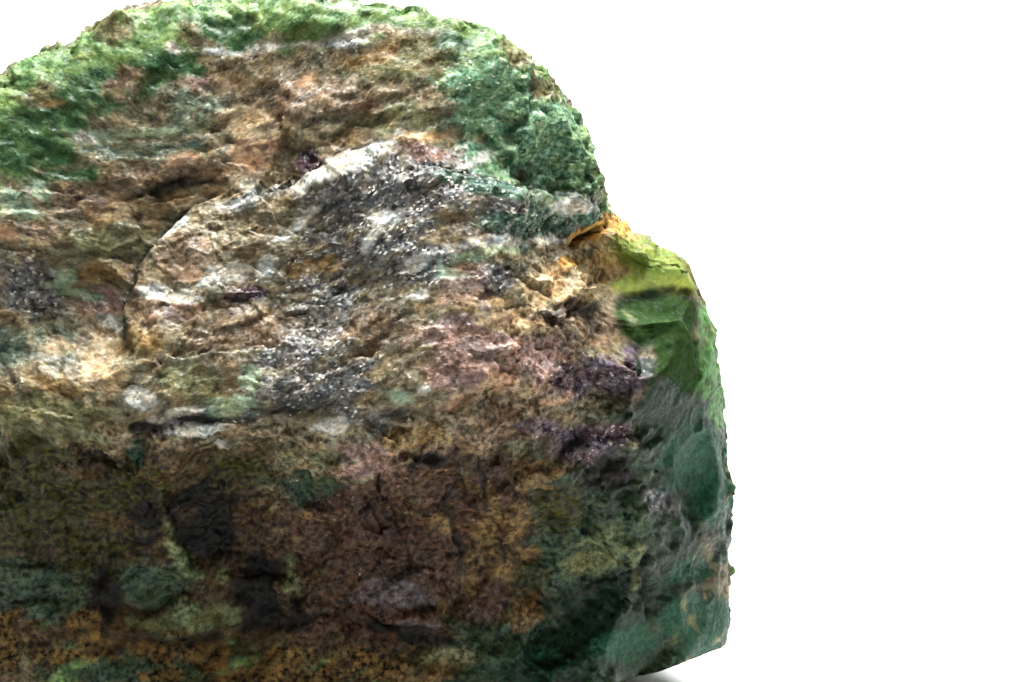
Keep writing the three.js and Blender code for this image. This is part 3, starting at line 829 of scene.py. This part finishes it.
    # Each grain reflects its own way, which makes the glitter.
    tilt = add(tree, "VectorMath", {0: grains.outputs["Color"], 1: (0.5, 0.5, 0.5)}, operation="SUBTRACT")
    normal = add(tree, "NewGeometry").outputs["Normal"]
    tilt_size = add(tree, "MapRange", {"Value": sparkle, "To Min": 0.02, "To Max": 0.5}).outputs[0]
    turned = add(tree, "VectorMath", {0: tilt.outputs[0], "Scale": tilt_size}, operation="SCALE").outputs[0]
    leaning = add(tree, "VectorMath", {0: normal, 1: turned}, operation="ADD").outputs[0]
    grain_normal = add(tree, "VectorMath", {0: leaning}, operation="NORMALIZE").outputs[0]
    relief = add(tree, "MapRange", {"Value": sparkle, "From Max": 0.5, "To Min": 0.04}).outputs[0]
    relief = add(tree, "Math", {0: pattern, 1: relief}, operation="MULTIPLY").outputs[0]
    bumped = add(
        tree, "Bump", {"Height": relief, "Normal": grain_normal, "Strength": 0.32, "Distance": 0.12 * MM}
    ).outputs[0]
    uneven = add(tree, "MapRange", {"Value": chance.outputs[2], "To Min": 0.7, "To Max": 1.3}).outputs[0]
    gloss = add(tree, "Math", {0: rough, 1: uneven}, operation="MULTIPLY", use_clamp=True).outputs[0]
    clear = add(tree, "MapRange", {"Value": glow, "To Min": 0.03, "To Max": 0.4}).outputs[0]
    surface = add(
        tree, "BsdfPrincipled",
        {
            "Base Color": final_colour, "Roughness": gloss, "IOR": QUARTZ_IOR, "Specular IOR Level": 0.16,
            "Normal": bumped,
            "Subsurface Weight": clear, "Subsurface Radius": (0.7, 1.0, 0.45), "Subsurface Scale": 2.4 * MM,
        },
    )
    add(tree, "OutputMaterial", {"Surface": surface.outputs[0]})
    return material


def matt_white_card():
    """White card: matt and even, so it gives nothing to the eye but the stone's own shadow."""
    material = bpy.data.materials.new("matt_white_card")
    material.use_nodes = True
    tree = material.node_tree
    tree.nodes.clear()
    grain = add(tree, "TexNoise", {"Scale": 900.0, "Detail": 3.0}).outputs["Fac"]
    tone = add(
        tree, "Mix", {0: grain, 6: linear("#dadada"), 7: linear("#dedede")}, data_type="RGBA"
    ).outputs[2]
    surface = add(tree, "BsdfPrincipled", {"Base Color": tone, "Roughness": 0.9})
    add(tree, "OutputMaterial", {"Surface": surface.outputs[0]})
    return material


# ---- Operators ----
class AVENTURINE_OT_stone(bpy.types.Operator):
    """Carve the stone from its solid and give it its mineral surface"""

    bl_idname = "aventurine.stone"
    bl_label = "Build Stone"

    def execute(self, context):
        scene = context.scene
        stone = carve(scene.aventurine_shape, scene.aventurine_finish)
        stone.data.materials.clear()
        stone.data.materials.append(aventurine(scene.aventurine_finish))
        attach(stone, BODY)
        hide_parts(SOLID)
        return {"FINISHED"}


def softbox(name, watts, size, place, target):
    """Hangs a flat soft light and turns it to its target."""
    lamp = bpy.data.lights.new(name, "AREA")
    lamp.energy = watts
    lamp.shape = "RECTANGLE"
    lamp.size, lamp.size_y = size
    holder = bpy.data.objects.new(name, lamp)
    holder.location = place
    holder.rotation_euler = (Vector(target) - Vector(place)).to_track_quat("-Z", "Y").to_euler()
    bpy.context.scene.collection.objects.link(holder)
    return holder


class AVENTURINE_OT_studio(bpy.types.Operator):
    """Lay the white table, hang the soft lights and place the camera"""

    bl_idname = "aventurine.studio"
    bl_label = "Build Studio"

    def execute(self, context):
        scene = context.scene
        settings = scene.aventurine_studio
        table = bpy.data.meshes.new("table")
        corners = [(-1, -1), (1, -1), (1, 1), (-1, 1)]
        table.from_pydata(
            [(x * TABLE_HALF, y * TABLE_HALF, -TABLE_DROP) for x, y in corners], [], [(0, 1, 2, 3)]
        )
        floor = bpy.data.objects.new("table", table)
        table.materials.append(matt_white_card())
        scene.collection.objects.link(floor)

        middle = (0.0, 0.0, 18 * MM)
        softbox("top_light", settings.key, (0.2, 0.16), (0.03, 0.2, 0.36), middle)
        softbox("rim_light", settings.rim, (0.6, 0.4), (0.12, 0.45, 0.2), middle)
        softbox("front_fill", 0.1, (0.3, 0.2), (-0.2, -0.35, 0.35), middle)

        world = bpy.data.worlds.new("bright_room")
        world.use_nodes = True
        tree = world.node_tree
        tree.nodes.clear()
        seen = add(tree, "Background", {"Color": WHITE, "Strength": ROOM_SEEN}).outputs[0]
        lighting = add(tree, "Background", {"Color": WHITE, "Strength": ROOM_LIGHT}).outputs[0]
        direct = add(tree, "LightPath").outputs["Is Camera Ray"]
        both = add(tree, "MixShader", {0: direct, 1: lighting, 2: seen}).outputs[0]
        add(tree, "OutputWorld", {"Surface": both})
        scene.world = world

        view = bpy.data.cameras.new("camera")
        view.lens = view.sensor_width * settings.distance / settings.width
        view.clip_start = 0.01
        camera = bpy.data.objects.new("camera", view)
        aim = Vector(ACROSS * VIEW_AIM[0] * MM + UP * VIEW_AIM[1] * MM)
        camera.location = aim + Vector(OUT) * settings.distance
        camera.rotation_euler = (math.pi / 2 - FACE_LEAN, 0.0, 0.0)
        scene.collection.objects.link(camera)
        scene.camera = camera
        scene.view_settings.view_transform = "Standard"
        return {"FINISHED"}


class AVENTURINE_PT_panel(bpy.types.Panel):
    """Settings and build steps of the stone"""

    bl_label = "Aventurine"
    bl_idname = "AVENTURINE_PT_panel"
    bl_space_type = "VIEW_3D"
    bl_region_type = "UI"
    bl_category = "Aventurine"

    def draw(self, context):
        groups = [
            ("aventurine_shape", "detail chips chip_width bedding blocks roughness_height"),
            ("aventurine_finish", "body_dark body_light mica flake"),
            ("aventurine_studio", "key rim distance width"),
        ]
        for group, names in groups:
            column = self.layout.column(align=True)
            for name in names.split():
                column.prop(getattr(context.scene, group), name)
        self.layout.operator("aventurine.stone")
        self.layout.operator("aventurine.studio")


CLASSES = (
    StoneShape, StoneFinish, StudioSettings,
    AVENTURINE_OT_stone, AVENTURINE_OT_studio, AVENTURINE_PT_panel,
)
GROUPS = {
    "aventurine_shape": StoneShape,
    "aventurine_finish": StoneFinish,
    "aventurine_studio": StudioSettings,
}


def register():
    for each in CLASSES:
        bpy.utils.register_class(each)
    for name, group in GROUPS.items():
        setattr(bpy.types.Scene, name, bpy.props.PointerProperty(type=group))


def unregister():
    for name in GROUPS:
        delattr(bpy.types.Scene, name)
    for each in reversed(CLASSES):
        bpy.utils.unregister_class(each)


def main():
    register()
    bpy.ops.aventurine.stone()
    bpy.ops.aventurine.studio()


if __name__ == "__main__":
    main()
